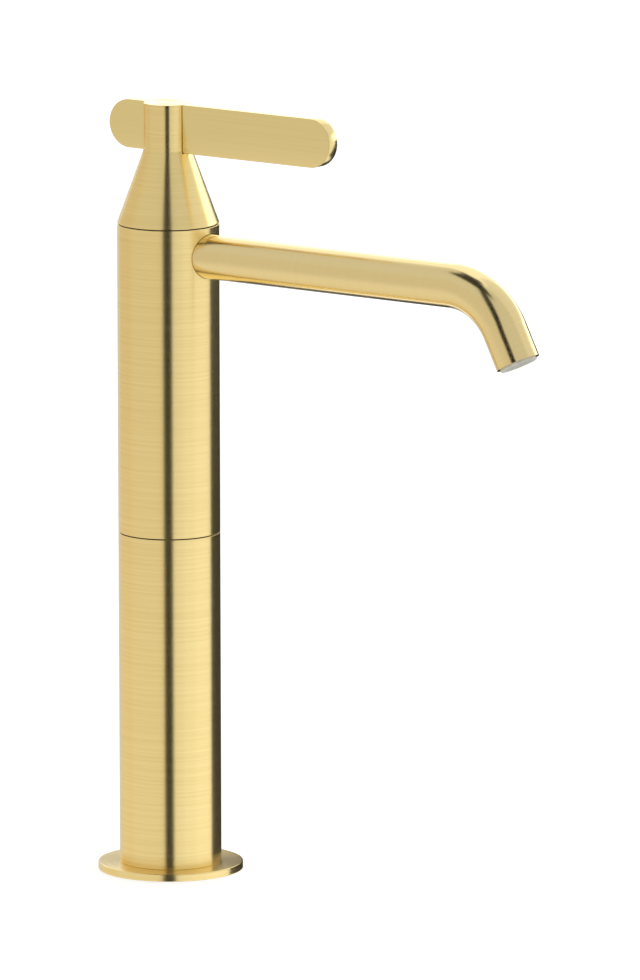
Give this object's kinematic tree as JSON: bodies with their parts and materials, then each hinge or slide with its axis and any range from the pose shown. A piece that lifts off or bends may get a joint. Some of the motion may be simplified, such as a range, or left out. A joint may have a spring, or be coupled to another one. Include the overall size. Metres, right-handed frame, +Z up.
{
  "type": "basin mixer faucet",
  "caption": "Tall deck-mounted basin mixer in brushed gold, with a two-part round column, a flat lever let into a cone-shaped handle and a tubular spout bent down at its end.",
  "frame": {"origin": "on the column's axis at deck level, the underside of the base flange", "axes": "+Z up along the column, +X along the spout, +Y to the user's right when facing the mixer from the spout's side"},
  "size_m": [0.2342, 0.0654, 0.4053],
  "materials": {
    "brushed_gold": "brushed gold vapour-deposited finish, satin",
    "raw_brass": "machined",
    "stainless": "machined",
    "black_rubber": "matte",
    "black_plastic": "matte",
    "white_plastic": "matte",
    "ceramic": "polished",
    "aerator_grey": "satin"
  },
  "bodies": {
    "column": {"base_flange": "brushed_gold", "base_gasket": "black_rubber", "riser_shell": "brushed_gold", "riser_foot": "raw_brass", "fixing_studs": "stainless", "clamp_gasket": "black_rubber", "clamp_washer": "stainless", "fixing_nuts": "stainless", "joint_ring": "black_rubber", "coupling_sleeve": "raw_brass", "body_shell": "brushed_gold", "valve_body": "raw_brass", "glide_ring": "black_plastic", "cartridge_base": "white_plastic", "cartridge_seals": "black_rubber", "fixed_disc": "ceramic", "cartridge_housing": "white_plastic", "spindle_oring": "black_rubber", "retaining_nut": "raw_brass", "spout_tube": "brushed_gold", "spout_nipple": "raw_brass", "spout_oring": "black_rubber", "aerator_gasket": "black_rubber", "aerator_sieve": "aerator_grey", "aerator_core": "aerator_grey", "aerator_housing": "aerator_grey"},
    "handle": {"moving_disc": "ceramic", "spindle": "raw_brass", "spindle_adapter": "raw_brass", "handle_cone": "brushed_gold", "handle_lever": "brushed_gold", "lever_screws": "stainless", "handle_setscrew": "stainless"}
  },
  "joints": [
    {"name": "handle_turn", "type": "hinge", "parent": "column", "child": "handle", "pos_m": [0, 0, 0.2958], "axis": [0, 0, 1], "range_deg": [-100, 0]}
  ]
}
